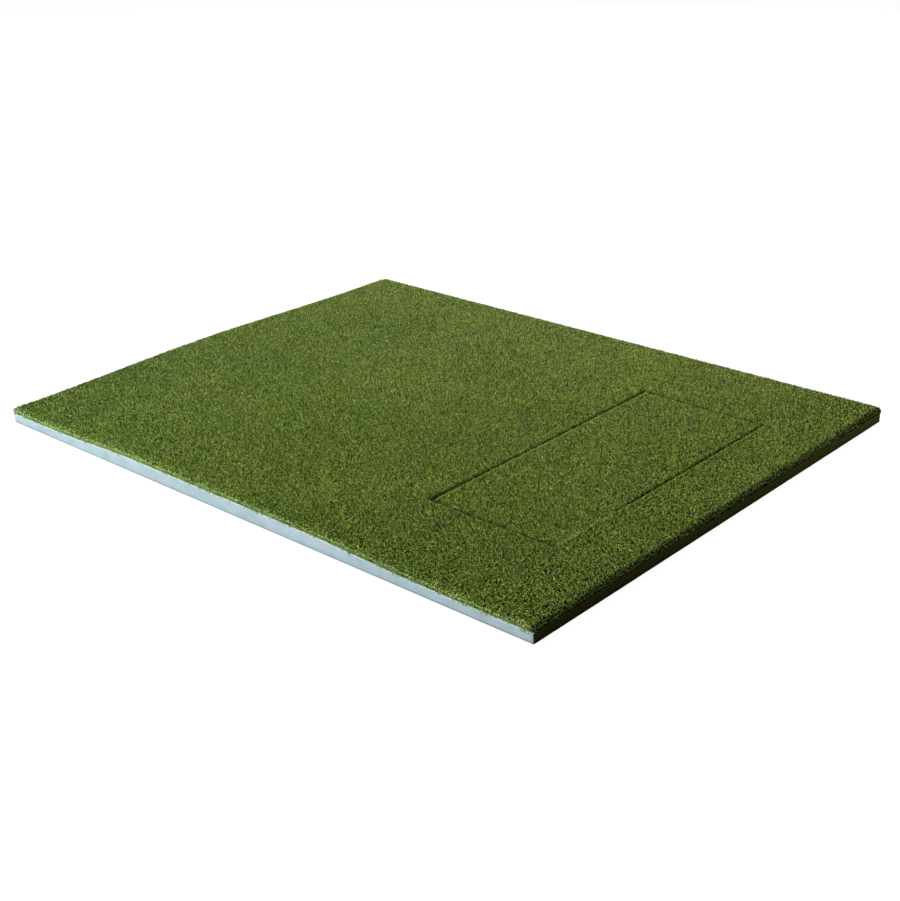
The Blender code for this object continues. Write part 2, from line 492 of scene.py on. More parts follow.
def tuft_places(rng, low, high):
    """Places on a staggered grid with some jitter, in a rectangle."""
    rows = int((high[1] - low[1]) / TUFT_ROW)
    columns = int((high[0] - low[0]) / TUFT_PITCH)
    row, column = np.meshgrid(np.arange(rows), np.arange(columns), indexing="ij")
    x = low[0] + (column + 0.5 + 0.5 * (row % 2) - 0.25) * (high[0] - low[0]) / columns
    y = low[1] + (row + 0.5) * (high[1] - low[1]) / rows
    x = x.ravel() + rng.normal(0.0, JITTER_SPREAD, x.size)
    y = y.ravel() + rng.normal(0.0, JITTER_SPREAD, y.size)
    inside = (x > low[0]) & (x < high[0]) & (y > low[1]) & (y < high[1])
    return x[inside], y[inside]


def tuft_shade(rng, x, y):
    """The shade of a tuft: random, with slow patches over the turf."""
    return TUFT_SHADE + patchy(x, y, 0.0, SHADE_PATCHES) + rng.normal(0.0, 0.135, x.size)


def strand_warmth(rng, x, y):
    """1 for a yellow-green strand and 0 for a blue-green one, in slow patches."""
    share = patchy(x, y, 0.53 + 0.08 * x / HALF_X + 0.15 * y / HALF_Y, WARM_PATCHES)
    return (rng.uniform(0.0, 1.0, x.size) < share).astype(float)


def painted_sheen_crown(rng, x, y):
    """How far up the palette the tips of strands are: PLAIN_CROWN, or up to 1 where the palette paints a
    bluish sheen.
    """
    painted_sheen = 0.45 - 0.52 * x / HALF_X + 0.16 * y / HALF_Y
    painted_sheen = patchy(x, y, painted_sheen, PAINTED_SHEEN_PATCHES) + rng.normal(0.0, 0.15, x.size)
    return PLAIN_CROWN + (1.0 - PLAIN_CROWN) * np.clip(painted_sheen, 0.0, 1.0)


def field_strands(rng, low, high, opening, lift):
    """The strands of a rectangle of turf. opening gives the lean and the height loss at a place."""
    x, y = tuft_places(rng, low, high)
    count = x.size
    tuft_lean = rng.normal(0.0, 0.0008, (count, 2))
    tuft_height = rng.normal(0.0, 0.0004, count)
    tuft_height = tuft_height + DENT_HEIGHT * smooth_noise(x, y, DENT_CELL, 12)
    tuft_tone = tuft_shade(rng, x, y)
    turn = rng.uniform(0.0, math.tau, count)
    strands = TALL_STRANDS + SHORT_STRANDS
    base = PILE_HIGH.z - TIP_BELOW_TOP - ROOT_DEPTH
    sets = []
    for strand in range(strands):
        angle = turn + math.tau * strand * 2 / strands + rng.normal(0.0, 0.5, count)
        reach = rng.uniform(0.0002, 0.0013, (2, count))
        root_x, root_y = np.stack([x, y]) + directions(angle).T * reach
        lean, loss = opening(root_x, root_y)
        loss = loss + np.abs(rng.normal(0.0, 0.0006, count))
        if strand >= TALL_STRANDS:
            loss = loss + rng.uniform(*SHORT_LOSS_RANGE, count)
        wave = WAVE_HEIGHT * smooth_noise(root_x, root_y, WAVE_CELL, 1)
        height = base + ROOT_DEPTH + wave + tuft_height - loss - base
        root = np.stack([root_x, root_y, np.full(count, base) + lift(root_x, root_y)], 1)
        wander = directions(angle + rng.normal(0.0, 0.9, count))
        wander *= rng.uniform(0.0, 0.0011, (count, 1))
        waist = root.copy()
        waist[:, :2] += tuft_lean * 0.5 + wander + lean * 0.5
        waist[:, 2] += height * rng.uniform(*WAIST_RANGE, count)
        bend = any_way(rng, count) * rng.uniform(0.0002, 0.0012, (count, 1))
        shoulder = waist.copy()
        shoulder[:, :2] += bend + tuft_lean * 0.5 + lean * 0.5
        shoulder[:, 2] = root[:, 2] + height
        width = STRAND_HALF * rng.uniform(0.7, 1.3, count)
        shade = tuft_tone + rng.normal(0.0, 0.235, count)
        warmth = strand_warmth(rng, x, y)
        sets.append(strand_set(rng, root, waist, shoulder, width, shade, warmth, HIDDEN_FOOT))
    return joined(sets)


def outline_points(low, high, radius, pitch):
    """Evenly spaced points along a round-cornered rectangle, with their outward directions."""
    low, high = np.array(low), np.array(high)
    centre, half = (low + high) / 2, (high - low) / 2
    places = []
    angles = []
    for corner, sign in enumerate(((1, 1), (-1, 1), (-1, -1), (1, -1))):
        middle = centre + np.array(sign) * (half - radius)
        for step in range(9):
            angle = math.pi / 2 * (corner + step / 8)
            places.append(middle + radius * np.array([math.cos(angle), math.sin(angle)]))
            angles.append(angle)
    places.append(places[0])
    angles.append(angles[0] + math.tau)
    lengths = np.concatenate([[0.0], np.cumsum(np.linalg.norm(np.diff(places, axis=0), axis=1))])
    along = np.arange(0.0, lengths[-1], pitch)
    x, y = (np.interp(along, lengths, values) for values in np.transpose(places))
    return x, y, directions(np.interp(along, lengths, angles))


def leaning(rng, root, out, lean, leans, rise, rises):
    """The waists and shoulders, as high as the waists, of strands that lean the way out.

    leans are the shares of the lean up to the waist and from there. A waist stands over its root
    by a share of rise.
    """
    skew = rng.normal(0.0, 0.0011, (2, len(root)))
    waist = root.copy()
    waist[:, :2] += out * lean[:, None] * leans[0] + leftward(out) * skew[0][:, None]
    waist[:, 2] += rise * rng.uniform(*rises, len(root))
    shoulder = waist.copy()
    shoulder[:, :2] += out * lean[:, None] * leans[1] + leftward(out) * skew[1][:, None]
    return waist, shoulder


def row_strands(rng, x, y, out, reach, heights, tone, foot, lift):
    """A row of long strands rooted on the backing, leaning the way out, by up to reach.

    heights are the lowest and highest shares of the pile's height that they stand, and tone is
    added to their shade. Pale ones vary more.
    """
    count = x.size
    bottom = BACKING_HIGH.z + 0.0003
    depth = rng.uniform(0.0003, 0.0022, count)
    root = np.stack([x - out[:, 0] * depth, y - out[:, 1] * depth, np.full(count, bottom) + lift(x, y)], 1)
    lean = reach * rng.uniform(0.15, 1.0, count) * patchy(x, y, 1.0, ROW_PATCHES)
    full = PILE_HIGH.z - TIP_BELOW_TOP - bottom + 0.7 * DENT_HEIGHT * smooth_noise(x, y, DENT_CELL, 12)
    height = full * rng.uniform(*heights, count) - 0.4 * lean
    waist, shoulder = leaning(rng, root, out, lean, (0.6, 0.4), height, WAIST_RANGE)
    shoulder[:, 2] = root[:, 2] + height
    width = STRAND_HALF * rng.uniform(0.7, 1.2, count)
    shade = tuft_shade(rng, x, y)
    varied = rng.normal(0.0, 0.14, count) * (1.0 + 0.6 * (tone > FRINGE_TONE))
    shade = shade + varied + tone
    return strand_set(rng, root, waist, shoulder, width, shade, strand_warmth(rng, x, y), foot)


def edge_tone(out):
    """The shade added to the outer edge's strands, with painted light at the -Y side."""
    return FRINGE_TONE + LIT_FRINGE * np.maximum(-out[:, 1], 0.0)


def side_strands(rng, low, high, lift, radius, outward, reach, rows, pitch, foot):
    """Rows of long strands along the side of a rectangle of turf, which show their whole length.

    outward is +1 for a pile's outer side and -1 for the pile round a pocket.
    """
    sets = []
    outer = float(outward > 0)
    for _ in range(rows):
        x, y, out = outline_points(low, high, radius, pitch)
        out = out * outward
        slide = rng.normal(0.0, pitch * 0.6, x.size)
        x = x - out[:, 1] * slide
        y = y + out[:, 0] * slide
        at_end = np.maximum(out[:, 0], 0.0) * outer
        at_near = np.maximum(-out[:, 1], 0.0) * outer
        at_far = np.maximum(np.maximum(-out[:, 0], out[:, 1]), 0.0) * outer
        lowest, highest = (
            plain - end * at_end + far * at_far - near * at_near for plain, end, far, near in RIM_SHARES
        )
        highest = highest + 0.16 * at_near * smooth_noise(x, y, 0.004, 20)
        # Painted light on the -Y side, which the left lamp lights: paler strands, with less painted shade at
        # their roots.
        tone = edge_tone(out) * outer
        feet = foot + 0.30 * at_near
        sets.append(row_strands(rng, x, y, out, reach, (lowest, highest), tone, feet, lift))
    return joined(sets)


def drooping_strands(rng, low, high, radius, lift):
    """Strands of the outer edge that hang over the backing, in patches."""
    x, y, out = outline_points(low, high, radius, DROOP_PITCH)
    by_end = smooth_step((np.abs(x) - DROOP_END) / 0.25)
    share = patchy(x, y, 0.50 + 0.30 * by_end, DROOP_PATCHES)
    kept = rng.uniform(0.0, 1.0, x.size) < share
    x, y, out = x[kept], y[kept], out[kept]
    count = x.size
    height = BACKING_HIGH.z + rng.uniform(0.0005, 0.0055, count) + lift(x, y)
    root = np.stack([x - out[:, 0] * 0.001, y - out[:, 1] * 0.001, height], 1)
    lean = DROOP_REACH * rng.uniform(0.7, 1.1, count)
    waist, shoulder = leaning(rng, root, out, lean, (0.7, 0.25), 1.0, (0.0006, 0.0018))
    near = np.maximum(-out[:, 1], 0.0)
    longer = near * (1.0 + smooth_step((x - DROOP_CORNER) / 0.22))
    hang = rng.uniform(0.0006, 0.0034, count)
    hang = hang + longer * rng.uniform(0.0, 1.0, count) ** 2 * DROOP_HANG
    shoulder[:, 2] -= hang * (1.0 + 0.5 * near * smooth_noise(x, y, 0.022, 19))
    shoulder[:, 2] = np.maximum(shoulder[:, 2], BACKING_LOW.z - DROOP_BELOW * longer + lift(x, y))
    width = STRAND_HALF * rng.uniform(0.45, 0.85, count)
    shade = tuft_shade(rng, x, y) + rng.normal(0.0, 0.12, count)
    # Painted light on the -Y side; the foot of 0.75 leaves little painted shade at the roots.
    shade = shade + 1.3 * edge_tone(out)
    return strand_set(rng, root, waist, shoulder, width, shade, strand_warmth(rng, x, y), 0.75)


def lip_strands(rng, line, start, end, way, lean, lift):
    """A dense row of tall strands along a lip of a long slit, paler by LIP_TONE as painted light.

    line gives the lip's x at each y, and way is the sign of the side that it leans to.
    """
    sets = []
    for row in range(LIP_ROWS):
        y = np.arange(start, end, LIP_PITCH)
        y = y + rng.normal(0.0, LIP_PITCH, y.size)
        x = line(y) - way * LIP_ROW_STEP * row
        out = np.stack([np.full(y.size, float(way)), np.zeros(y.size)], 1)
        sets.append(row_strands(rng, x, y, out, lean, (0.84, 1.0), LIP_TONE, LIP_FOOT, lift))
    return joined(sets)


# ---- slits


def open_share(y):
    """1 where the slit nearer the mat's end stands open, and 0 where the strip's edge shuts it."""
    return smooth_step((y - SHUT_BELOW_Y) / SHUT_FADE + 0.5)


def slit_middles():
    """The middle lines of the four slits: left and right in x, near and far in y."""
    reach_x, reach_y = POCKET_X - SLIT_X / 2, POCKET_Y - SLIT_Y / 2
    return STRIP_X - reach_x, STRIP_X + reach_x, -reach_y, reach_y


def raggedness(x, y):
    """The unevenness of the cut pile along the slits, around 1."""
    return patchy(x, y, 1.0, RAGGED_PATCHES)


def right_gap(x, y):
    """How far the stance's pile holds back at the slit nearer the mat's end."""
    return RIGHT_GAP * raggedness(x, y) * (SHUT_SHARE + (1.0 - SHUT_SHARE) * open_share(y))


def end_gap(x, y):
    """How far the pile holds back at the short slits, which show in dashes."""
    corner = smooth_step(1.0 - (x - STRIP_X + STRIP_HALF_X) / CORNER_REACH)
    return (END_GAP * patchy(x, y, 1.0, DASH_PATCHES) + CORNER_GAP * corner) * raggedness(x, y)


def reach_into_slits(points, share):
    """How far the stance's points stand inside the strip's outline, widened by a share of the gaps."""
    left_edge, right_edge, near_edge, far_edge = slit_middles()
    x, y = points[:, 0], points[:, 1]
    left = LEFT_GAP * raggedness(x, y) * share
    right = right_gap(x, y) * share
    far = (end_gap(x, y) + 2 * END_LEAN) * share
    near = END_LEAN * share
    return np.stack([x - left_edge + left, right_edge + right - x, y - near_edge - near, far_edge + far - y])


def rolled(distance, depth):
    """How far a lip that rolls down has fallen, at a distance back from its gap."""
    return depth * np.clip(1.0 - distance / ROLL_WIDTH, 0.0, 1.0) ** ROLL_POWER


def ridged(distance):
    """How far a lip that stands up rises, at a distance back from its gap."""
    return RIDGE_HEIGHT * smooth_step(1.0 - distance / RIDGE_WIDTH)


def shaded_lips(strands, from_side, side, from_end, end):
    """Strands with painted shade at the lips of a long and a short slit that lie in shade.

    from_side and from_end are distances back from the slits, and side and end shares of the painted shade.
    """
    by_side = smooth_step(1.0 - from_side / SHADED_LIP_WIDTH) * side
    by_end = smooth_step(1.0 - from_end / SHADED_END_WIDTH) * end
    strands = paint_light_and_shade(strands, by_side, SHADED_LIP_TONE, 0.0)
    return paint_light_and_shade(strands, by_end, SHADED_END_TONE, 0.50)


def held_off_strip(strands):
    """The stance's strands, held back from the slits, with the lips of its pile shaped and given painted
    shade.
    """
    strands = chosen(strands, (reach_into_slits(strands["root"], ROOT) <= 0).any(axis=0))
    strands["shade"] = np.minimum(strands["shade"], SHADE_CEILING)
    for key, share in HOLDS:
        points = strands[key]
        into = reach_into_slits(points, share)
        inside = (into > 0).all(axis=0)
        side = np.argmin(into, axis=0)
        for number, (column, sign) in enumerate(((0, -1), (0, 1), (1, -1), (1, 1))):
            moved = inside & (side == number)
            points[moved, column] += sign * into[number][moved]
        left, right, near, far = np.maximum(-reach_into_slits(points, share), 0.0)
        beside = (near <= 0) & (far <= 0)
        at_left = beside & (right <= 0)
        at_far = (left <= 0) & (right <= 0) & (near <= 0)
        fall = rolled(left, ROLL_DEPTH) * at_left + rolled(far, END_ROLL_DEPTH) * at_far
        rise = ridged(right) * (beside & (left <= 0))
        points[:, 2] += (rise - fall) * share
    return shaded_lips(strands, left, at_left, far, at_far)


def held_in_strip(strands):
    """The strip's strands, kept out of the open slits, with the lips of its pile shaped and given painted
    shade.
    """
    left_edge, right_edge, near_edge, far_edge = slit_middles()
    strands["shade"] = np.minimum(strands["shade"], SHADE_CEILING)
    for key, share in HOLDS:
        points = strands[key]
        x, y = points[:, 0], points[:, 1]
        shown = open_share(y)
        right = (SHUT_GAP + (RIGHT_STRIP_GAP - SHUT_GAP) * shown) * share
        near = end_gap(x, y) * share
        points[:, 0] = np.clip(x, left_edge - LIP_LEAN * share, right_edge - right)
        points[:, 1] = np.clip(y, near_edge + near, far_edge + END_LEAN * share)
        from_right = right_edge - right - points[:, 0]
        from_near = points[:, 1] - near_edge - near
        fall = rolled(from_right, ROLL_DEPTH) * shown + rolled(from_near, END_ROLL_DEPTH)
        rise = ridged(points[:, 0] - left_edge) * smooth_step(from_near / RIDGE_START)
        points[:, 2] += (rise - fall) * share
    return shaded_lips(strands, from_right, shown, from_near, 1.0)


# ---- pile pieces


def strand_mesh(strands):
    """Points, quads and palette places of a set of strands."""
    count = len(strands["shade"])
    points = np.empty((count, 8, 3))
    low_side, top_side = strands["low_side"], strands["top_side"]
    rows = (
        ("root", low_side * 0.85), ("waist", low_side),
        ("shoulder", (low_side + top_side) * 0.6), ("tip", top_side * 0.7),
    )
    for row, (key, side) in enumerate(rows):
        points[:, row * 2] = strands[key] - side
        points[:, row * 2 + 1] = strands[key] + side
    corners = np.array([[0, 1, 3, 2], [2, 3, 5, 4], [4, 5, 7, 6]])
    quads = (np.arange(count)[:, None, None] * 8 + corners[None]).reshape(-1, 4)
    foot, crown = strands["foot"], strands["crown"]
    heights = (foot * (0.4 + 0.6 * crown), (0.45 + 0.5 * foot) * crown, 0.90 * crown, 0.98 * crown)
    palette = np.empty((count, 3, 4, 2))
    place = strands["shade"] * 0.48 + 0.01 + strands["warmth"] * 0.5
    palette[..., 0] = place[:, None, None] + PALETTE_STEP * np.array([-1, 1, 1, -1])
    for quad in range(3):
        palette[:, quad, :2, 1] = heights[quad][:, None]
        palette[:, quad, 2:, 1] = heights[quad + 1][:, None]
    return points.reshape(-1, 3), quads, palette.reshape(-1, 2)


def pile_piece(name, strands, material, body, node):
    """One tile of the pile as a piece."""
    points, quads, palette = strand_mesh(strands)
    piece = new_piece(name, points, quads, material, body)
    layer = piece.data.uv_layers.new(name="OFBake")
    layer.uv.foreach_set("vector", np.asarray(palette, np.float32).ravel())
    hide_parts(node)
    return piece


def tile_number(place, half, count):
    """Which of count equal tiles from -half to half each place is in."""
    return np.clip(((place / half + 1) / 2 * count).astype(int), 0, count - 1)


# ---- materials


class Nodes:
    """A short way to write a material's nodes."""

    def __init__(self, name, roughness, **sockets):
        self.material = bpy.data.materials.new(name)
        self.material.use_nodes = True
        self.tree = self.material.node_tree
        self.shader = self.tree.nodes["Principled BSDF"]
        self.shader.inputs["Roughness"].default_value = roughness
        for socket, value in sockets.items():
            self.put(self.shader.inputs[socket.replace("_", " ")], value)

    def add(self, kind, inputs=None, **settings):
        """A node with its settings, and its inputs linked or filled in."""
        node = self.tree.nodes.new("ShaderNode" + kind)
        for key, value in settings.items():
            setattr(node, key, value)
        for key, value in (inputs or {}).items():
            self.put(node.inputs[key], value)
        return node

    def put(self, socket, value):
        """Link an output to a socket, or set the socket's value."""
        if isinstance(value, bpy.types.NodeSocket):
            self.tree.links.new(value, socket)
        else:
            socket.default_value = value

    def ramp(self, factor, stops):
        """A colour ramp through (place, colour) stops."""
        node = self.add("ValToRGB", {"Fac": factor})
        elements = node.color_ramp.elements
        while len(elements) < len(stops):
            elements.new(0.5)
        for element, (place, colour) in zip(elements, stops):
            element.position = place
            element.color = (*colour, 1.0)
        return node.outputs["Color"]

    def noise(self, vector, scale, detail=3.0, roughness=0.5):
        """A noise texture's value."""
        inputs = {"Vector": vector, "Scale": scale, "Detail": detail, "Roughness": roughness}
        return self.add("TexNoise", inputs).outputs["Fac"]

    def place(self):
        """The place on the object, in metres."""
        return self.add("TexCoord").outputs["Object"]

    def maths(self, operation, first, second=0.0):
        """One sum."""
        node = self.add("Math", operation=operation)
        self.put(node.inputs[0], first)
        self.put(node.inputs[1], second)
        return node.outputs[0]

    def multiply(self, first, second):
        """Two colours multiplied."""
        node = self.add("Mix", data_type="RGBA", blend_type="MULTIPLY")
        node.inputs["Factor"].default_value = 1.0
        self.put(node.inputs[6], first)
        self.put(node.inputs[7], second)
        return node.outputs[2]

    def finish(self, colour, height, distance):
        """Set the shader's colour and a bump, and give the material."""
        self.put(self.shader.inputs["Base Color"], colour)
        bump = self.add("Bump", {"Height": height, "Distance": distance})
        self.put(self.shader.inputs["Normal"], bump.outputs["Normal"])
        return self.material


def strand_material():
    """Nylon strands. The colour is read from the palette places.

    Across the palette are the blue-green shades and then the yellow-green ones, each from dark to
    light. Up the palette is the way from the root to the tip, with painted shade towards the root and
    a painted bluish sheen at the top end.
    """
    nodes = Nodes("turf_strands", 0.70, Sheen_Weight=0.02, Sheen_Roughness=0.5, Specular_IOR_Level=0.12)
    nodes.shader.inputs["Sheen Tint"].default_value = (0.85, 0.95, 0.60, 1.0)
    palette = nodes.add("UVMap", uv_map="OFBake").outputs["UV"]
    parts = nodes.add("SeparateXYZ", {"Vector": palette})
    shade = nodes.ramp(
        parts.outputs["X"],
        [
            (0.000, (0.019, 0.041, 0.002)),
            (0.240, (0.099, 0.170, 0.016)),
            (0.400, (0.216, 0.315, 0.058)),
            (0.498, (0.450, 0.590, 0.250)),
            (0.502, (0.028, 0.045, 0.001)),
            (0.740, (0.149, 0.201, 0.010)),
            (0.900, (0.290, 0.365, 0.048)),
            (1.000, (0.490, 0.600, 0.220)),
        ],
    )
    # Painted shade: strands darken towards the root. The last stop paints a bluish sheen on the tips.
    height = nodes.ramp(
        parts.outputs["Y"],
        [
            (0.00, (0.22, 0.25, 0.18)),
            (0.45, (0.72, 0.75, 0.60)),
            (0.82, (1.11, 1.08, 0.96)),
            (1.00, (1.02, 1.00, 2.70)),
        ],
    )
    nodes.put(nodes.shader.inputs["Base Color"], nodes.multiply(shade, height))
    return nodes.material


def root_material():
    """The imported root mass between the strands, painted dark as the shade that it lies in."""
    nodes = Nodes("turf_roots", 0.9)
    fine = nodes.noise(nodes.place(), 900.0, 2.0)
    colour = nodes.ramp(fine, [(0.30, (0.010, 0.020, 0.001)), (0.75, (0.040, 0.068, 0.004))])
    return nodes.finish(colour, fine, 0.0008)


def foam_material():
    """Pale smooth-faced foam: fine cells, faint lines of the cut, and a painted contact shadow along the
    foot.
    """
    nodes = Nodes("base_foam", 0.5)
    place = nodes.place()
    cells = nodes.add("TexVoronoi", {"Vector": place, "Scale": 900.0}).outputs["Distance"]
    cloud = nodes.noise(place, 30.0, 5.0, 0.65)
    lines_place = nodes.add("Mapping", {"Vector": place, "Scale": (3.0, 3.0, 420.0)})
    lines = nodes.noise(lines_place.outputs["Vector"], 1.0, 3.0, 0.55)
    body_stops = [(0.32, (0.400, 0.465, 0.480)), (0.50, (0.470, 0.530, 0.545)), (0.68, (0.520, 0.570, 0.600))]
    body = nodes.ramp(cloud, body_stops)
    cut = nodes.ramp(lines, [(0.35, (0.93, 0.94, 0.95)), (0.60, WHITE)])
    pores = nodes.ramp(cells, [(0.05, (0.86, 0.87, 0.88)), (0.45, WHITE)])
    height = nodes.add("SeparateXYZ", {"Vector": place}).outputs["Z"]
    foot = nodes.maths("ADD", height, nodes.maths("MULTIPLY", nodes.noise(place, 60.0), 0.004))
    # Painted contact shadow: darker within a few millimetres of the foot.
    foot_shadow = nodes.ramp(nodes.maths("MULTIPLY", foot, 60.0), [(0.22, (0.80, 0.79, 0.77)), (0.42, WHITE)])
    rough = nodes.maths("ADD", nodes.maths("MULTIPLY", nodes.noise(place, 40.0, 4.0), 0.25), 0.38)
    nodes.put(nodes.shader.inputs["Roughness"], rough)
    colour = nodes.multiply(nodes.multiply(body, cut), nodes.multiply(pores, foot_shadow))
    return nodes.finish(colour, nodes.maths("ADD", cells, nodes.maths("MULTIPLY", lines, 2.0)), 0.0003)


def backing_material():
    """Woven backing under a pale latex coat."""
    nodes = Nodes("turf_backing", 0.75)
    place = nodes.place()
    wave = {"Vector": place, "Scale": 200.0, "Distortion": 0.6}
    warp, weft = (nodes.add("TexWave", wave, bands_direction=way).outputs["Fac"] for way in "XY")
    weave = nodes.maths("MULTIPLY", warp, weft)
    coat = nodes.noise(place, 70.0, 4.0, 0.6)
    base = nodes.ramp(weave, [(0.0, (0.60, 0.70, 0.60)), (0.8, (0.82, 0.90, 0.82))])
    worn = nodes.ramp(coat, [(0.35, (0.88, 0.90, 0.86)), (0.65, WHITE)])
    colour = nodes.multiply(base, worn)
    return nodes.finish(colour, weave, 0.0003)


def sheet_material():
    """Thin non-slip sheet with a fine dimpled grain."""
    nodes = Nodes("bottom_sheet", 0.6)
    place = nodes.place()
    grain = nodes.add("TexVoronoi", {"Vector": place, "Scale": 420.0}, feature="SMOOTH_F1")
    grain = grain.outputs["Distance"]
    cloud = nodes.noise(place, 14.0, 4.0, 0.6)
    body = nodes.ramp(cloud, [(0.3, (0.330, 0.375, 0.385)), (0.7, (0.400, 0.445, 0.455))])
    dimple = nodes.ramp(grain, [(0.1, (0.82, 0.82, 0.82)), (0.5, WHITE)])
    colour = nodes.multiply(body, dimple)
    return nodes.finish(colour, grain, 0.0004)


def tape_material(name, scale, dark, light, roughness):
    """Hook or loop tape: rows of fine hooks, or brushed loops."""
    nodes = Nodes(name, roughness)
    place = nodes.place()
    tufts = nodes.add("TexVoronoi", {"Vector": place, "Scale": scale, "Randomness": 0.35}).outputs["Distance"]
    fuzz = nodes.noise(place, scale * 2.5, 3.0)
    mixed = nodes.maths("ADD", tufts, nodes.maths("MULTIPLY", fuzz, 0.4))
    colour = nodes.ramp(mixed, [(0.25, light), (0.85, dark)])
    return nodes.finish(colour, mixed, 0.0006)


# ---- layers


def foam_wall(x, y, level):
    """The foam's cut face: eased edges and a slightly wavy knife line."""
    eased = np.clip(np.abs(level - 0.5) * 2 - FOAM_EASE_START, 0.0, 1.0) / (1.0 - FOAM_EASE_START)
    wavy = FOAM_WAVE * smooth_noise(x * 3 + y * 3, level * 0.02 + x - y, 0.05, 5)
    return wavy - FOAM_EASE * eased**2 - FOAM_BACK


def sheet_wall(x, y, level):
    """The bottom sheet's edge, trimmed just inside the foam."""
    return -SHEET_BACK + SHEET_WAVE * smooth_noise(x, y, 0.03, 6)


def backing_wall(x, y, level):
    """The backing's edge, cut unevenly, a little proud of the foam but set back in the pocket."""
    proud = BACKING_PROUD + patchy(x, y, 0.0, BACKING_PATCHES) - BACKING_BOW * abs(level - 0.5)
    outside = (HALF_X - np.abs(x) < BACKING_EDGE) | (HALF_Y - np.abs(y) < BACKING_EDGE)
    return np.where(outside, proud, -BACKING_BACK)


def strip_backing_wall(x, y, level):
    """The strip's backing, a hair inside its foam."""
    return -BACKING_BACK


def root_wall(x, y, level):
    """The side of the root mass, which leans in towards its top."""
    return -ROOTS_BACK - ROOTS_LEAN * level + ROOTS_WAVE * smooth_noise(x, y, 0.006, 9)


def layer(name, node, body, slot, material, grid, levels, wall, heights, lifts, hole=None):
    """One sheet of a stack as a closed piece that replaces its CAD node.

    heights and lifts are those of its underside and its top.
    """
    low, high = np.array([MAT_LOW, MAT_HIGH] if body == "mat" else [STRIP_LOW, STRIP_HIGH])[:, :2]
    radius, pitch = grid
    steps = (radius * 0.35, radius)
    xs, ys = (grid_lines(low[k], high[k], pitch, steps, hole[k::2] if hole else ()) for k in (0, 1))
    centre, half = (low + high) / 2, (high - low) / 2
    points, quads = plate(xs, ys, centre, half, radius, heights, lifts, levels, wall, hole)
    piece = new_piece(name, points, quads, material, body)
    piece.data.set_sharp_from_angle(angle=math.radians(40))
    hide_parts(node)
    return piece


# ---- mat


def mat_opening(x, y):
    """Lean and height loss of the stance's strands by the outer edge, most at the +X side."""
    zone_x = np.where(x > 0, SHADY_ZONE, EDGE_ZONE)
    loss_x = np.where(x > 0, SHADY_LOSS, 0.0)
    loss_y = np.where(y > 0, 0.0, EDGE_LOSS)
    near_x = np.clip(1.0 - (HALF_X - np.abs(x)) / zone_x, 0.0, 1.0)
    near_y = np.clip(1.0 - (HALF_Y - np.abs(y)) / EDGE_ZONE, 0.0, 1.0)
    loss = np.maximum(loss_x * (1.0 - np.sqrt(1.0 - near_x**2)), loss_y * near_y**EDGE_LOSS_POWER)
    return np.stack([EDGE_LEAN * near_x * np.sign(x), EDGE_LEAN * near_y * np.sign(y)], 1), loss


def mat_tiles(rng, material):
    """The stance's pile, as tiles."""
    low = (MAT_LOW.x + MAT_INSET, MAT_LOW.y + MAT_INSET)
    high = (MAT_HIGH.x - MAT_INSET, MAT_HIGH.y - MAT_INSET)
    field = field_strands(rng, low, high, mat_opening, swell)
    dx = np.abs(field["root"][:, 0] - STRIP_X) - POCKET_X
    dy = np.abs(field["root"][:, 1]) - POCKET_Y
    field = chosen(field, (dx > MOUTH_INSET[0]) | (dy > MOUTH_INSET[1]))
    rim = side_strands(rng, low, high, swell, **RIM)
    mouth = side_strands(rng, POCKET[:2], POCKET[2:], swell, **MOUTH)
    lip = lip_strands(
        rng, lambda y: slit_middles()[1] + right_gap(0.0, y), -POCKET_Y, POCKET_Y, -1, LIP_LEAN, swell
    )
    droop = drooping_strands(rng, low, high, RIM["radius"], swell)
    strands = joined([held_off_strip(joined([field, mouth, lip])), rim, droop])
    # Painted shade near the +X side, which lies in shade, and painted light near the -Y side, which the left
    # lamp lights.
    shady = smooth_step(1.0 - (HALF_X - strands["shoulder"][:, 0]) / SHADY_ZONE) ** SHADY_POWER
    strands = paint_light_and_shade(strands, shady, SHADY_TONE, SHADY_DEPTH)
    lit = smooth_step(1.0 - (HALF_Y + strands["shoulder"][:, 1]) / LIT_ZONE) * (1.0 - shady)
    strands = paint_light_and_shade(strands, lit, LIT_TONE, LIT_DEPTH)
    column = tile_number(strands["root"][:, 0], HALF_X, TILES_X)
    row = tile_number(strands["root"][:, 1], HALF_Y, TILES_Y)
    tiles = []
    for i in range(TILES_X):
        for j in range(TILES_Y):
            tile = chosen(strands, (column == i) & (row == j))
            tiles.append(pile_piece(f"pile_{i}_{j}", tile, material, "mat", "turf_pile"))
    return tiles


def make_mat(rng, materials):
    """The fixed stack with its turf."""
    sheet = layer(
        "non_slip_sheet", "bottom_sheet", "mat", "sheet", materials["sheet"], MAT_GRID, SHEET_LEVELS,
        sheet_wall, (SHEET_LOW.z, SHEET_HIGH.z), (no_lift, no_lift),
    )
    foam = layer(
        "foam_pad", "base_foam", "mat", "foam", materials["foam"], MAT_GRID, FOAM_LEVELS,
        foam_wall, (SHEET_HIGH.z + TOUCH, MAT_HIGH.z), (no_lift, swell), POCKET,
    )
    backing = layer(
        "backing_cloth", "turf_backing", "mat", "backing", materials["backing"], MAT_GRID, CLOTH_LEVELS,
        backing_wall, (MAT_HIGH.z + TOUCH, BACKING_HIGH.z), (swell, swell), POCKET,
    )
    roots = layer(
        "pile_roots", "turf_pile", "mat", "turf", materials["roots"], ROOTS_GRID, CLOTH_LEVELS,
        root_wall, (PILE_LOW.z, ROOTS_TOP), (swell, swell), POCKET,
    )
    tiles = mat_tiles(rng, materials["strands"])


# ---- strip


